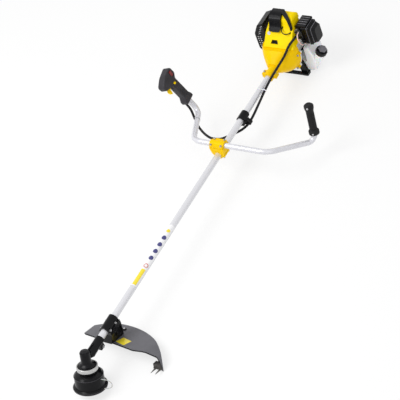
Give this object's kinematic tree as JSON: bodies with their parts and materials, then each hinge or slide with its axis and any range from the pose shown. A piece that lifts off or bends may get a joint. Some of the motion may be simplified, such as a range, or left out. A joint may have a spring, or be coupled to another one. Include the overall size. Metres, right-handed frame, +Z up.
{
  "type": "petrol string trimmer",
  "caption": "Petrol string trimmer with a straight shaft, bike handle with throttle grip, rear engine, tilted gear case, bump-feed line head and a wide debris guard.",
  "frame": {"origin": "Centre of the eye in the hanger clamp, where the harness hooks in.", "axes": "X runs along the shaft from the engine to the cutting head, Y to the operator's left, Z up as the trimmer rests on its stand and guard."},
  "size_m": [1.842, 0.6616, 0.3391],
  "materials": {
    "bright_tube": "drawn and anodised",
    "cast_alloy": "cast and part machined",
    "steel": "machined",
    "iron": "as cast",
    "muffler_steel": "heat-proof black paint",
    "yellow_plastic": "moulded gloss",
    "golden_plastic": "moulded gloss",
    "control_yellow": "moulded gloss",
    "black_plastic": "moulded with a fine grain",
    "guard_plastic": "moulded with a fine grain",
    "spool_plastic": "moulded",
    "soft_grip": "matt rubber",
    "red_plastic": "moulded gloss",
    "white_plastic": "translucent blow-moulded",
    "clear_hose": "clear hose",
    "nylon": "extruded",
    "rope": "braided",
    "foam": "open foam"
  },
  "bodies": {
    "main": {"shaft_tube": "bright_tube", "drive_bushes": "spool_plastic", "hanger_clamp": "black_plastic", "handlebar": "bright_tube", "clamp_saddle": "golden_plastic", "clamp_cap": "golden_plastic", "clamp_foot": "golden_plastic", "left_grip": "soft_grip", "throttle_grip_left": "black_plastic", "throttle_grip_right": "black_plastic", "throttle_conduit": "soft_grip", "gear_case": "black_plastic", "bearings": "steel", "guard": "guard_plastic", "guard_bracket": "black_plastic", "guard_bracket_cap": "black_plastic", "line_cutter": "muffler_steel", "fan_housing": "golden_plastic", "crankcase": "cast_alloy", "cylinder": "cast_alloy", "spark_plug": "steel", "engine_shroud": "yellow_plastic", "plug_lead": "soft_grip", "plug_cover": "black_plastic", "muffler": "muffler_steel", "muffler_cover": "black_plastic", "carburettor": "cast_alloy", "filter_base": "black_plastic", "filter_element": "foam", "filter_cover": "black_plastic", "fuel_tank": "white_plastic", "fuel_line": "clear_hose", "engine_stand": "black_plastic", "starter_housing": "black_plastic", "starter_rope": "rope", "cap_screws": "steel"},
    "drive": {"drive_shaft": "steel", "pinion": "steel", "clutch_drum": "steel"},
    "crank": {"crankshaft": "steel", "flywheel": "iron", "clutch_shoes": "iron"},
    "head": {"output_shaft": "steel", "output_gear": "steel", "collar": "cast_alloy", "head_housing": "black_plastic", "spool": "spool_plastic", "cutting_line": "nylon", "head_cover": "black_plastic"},
    "knob": {"bump_knob": "black_plastic"},
    "trigger": {"throttle_trigger": "control_yellow"},
    "lockout": {"trigger_lockout": "control_yellow"},
    "lock_button": {"throttle_lock_button": "control_yellow"},
    "switch": {"stop_switch": "red_plastic"},
    "lever": {"throttle_lever": "black_plastic"},
    "choke": {"choke_lever": "black_plastic"},
    "primer": {"primer_bulb": "clear_hose"},
    "cap": {"fuel_cap": "black_plastic"},
    "pulley": {"starter_pulley": "black_plastic"},
    "pull_handle": {"starter_handle": "black_plastic"}
  },
  "joints": [
    {"name": "drive_spin", "type": "hinge", "parent": "main", "child": "drive", "pos_m": [0.178, -0.033, 0.008], "axis": [1, 0, 0], "continuous": true},
    {"name": "crank_spin", "type": "hinge", "parent": "main", "child": "crank", "pos_m": [-0.437, -0.033, 0.008], "axis": [1, 0, 0], "continuous": true},
    {"name": "head_spin", "type": "hinge", "parent": "main", "child": "head", "pos_m": [1.23, -0.033, 0.008], "axis": [-0.342, 0, 0.9397], "continuous": true},
    {"name": "knob_bump", "type": "slide", "parent": "head", "child": "knob", "axis": [-0.342, 0, 0.9397], "range_m": [0, 0.006], "stiffness_N_per_m": 2500},
    {"name": "trigger_pull", "type": "hinge", "parent": "main", "child": "trigger", "pos_m": [0.02176, -0.31628, 0.16359], "axis": [0, 0.9542, 0.299], "range_deg": [0, 20], "stiffness_Nm_per_rad": 0.6},
    {"name": "lockout_press", "type": "hinge", "parent": "main", "child": "lockout", "pos_m": [-0.01577, -0.31188, 0.14954], "axis": [0, -0.9542, -0.299], "range_deg": [0, 8], "stiffness_Nm_per_rad": 0.6},
    {"name": "lock_button_press", "type": "slide", "parent": "main", "child": "lock_button", "axis": [0, -0.9542, -0.299], "range_m": [0, 0.003], "stiffness_N_per_m": 900},
    {"name": "switch_rock", "type": "hinge", "parent": "main", "child": "switch", "pos_m": [-0.01435, -0.31366, 0.19536], "axis": [0.9895, 0.0432, -0.1379], "range_deg": [0, 12]},
    {"name": "carb_lever_turn", "type": "hinge", "parent": "main", "child": "lever", "pos_m": [-0.437, 0.047, 0.106], "axis": [0, 0, 1], "range_deg": [-50, 0]},
    {"name": "choke_turn", "type": "hinge", "parent": "main", "child": "choke", "pos_m": [-0.417, 0.053, 0.08], "axis": [1, 0, 0], "range_deg": [0, 60]},
    {"name": "primer_press", "type": "slide", "parent": "main", "child": "primer", "axis": [0, 0, 1], "range_m": [0, 0.005], "stiffness_N_per_m": 800},
    {"name": "cap_turn", "type": "hinge", "parent": "main", "child": "cap", "pos_m": [-0.445, 0.093, -0.034], "axis": [0, 0.5446, 0.8387], "continuous": true},
    {"name": "pulley_turn", "type": "hinge", "parent": "main", "child": "pulley", "pos_m": [-0.486, -0.033, 0.008], "axis": [1, 0, 0], "continuous": true},
    {"name": "starter_pull", "type": "slide", "parent": "main", "child": "pull_handle", "axis": [0, 0, 1], "range_m": [0, 0.6], "deforming": ["starter_rope"]}
  ],
  "couplings": [
    {"joint": "head_spin", "follows": "drive_spin", "ratio": 0.73684},
    {"joint": "carb_lever_turn", "follows": "trigger_pull", "ratio": -2.5},
    {"joint": "pulley_turn", "follows": "starter_pull", "rad_per_m": -33.167}
  ]
}
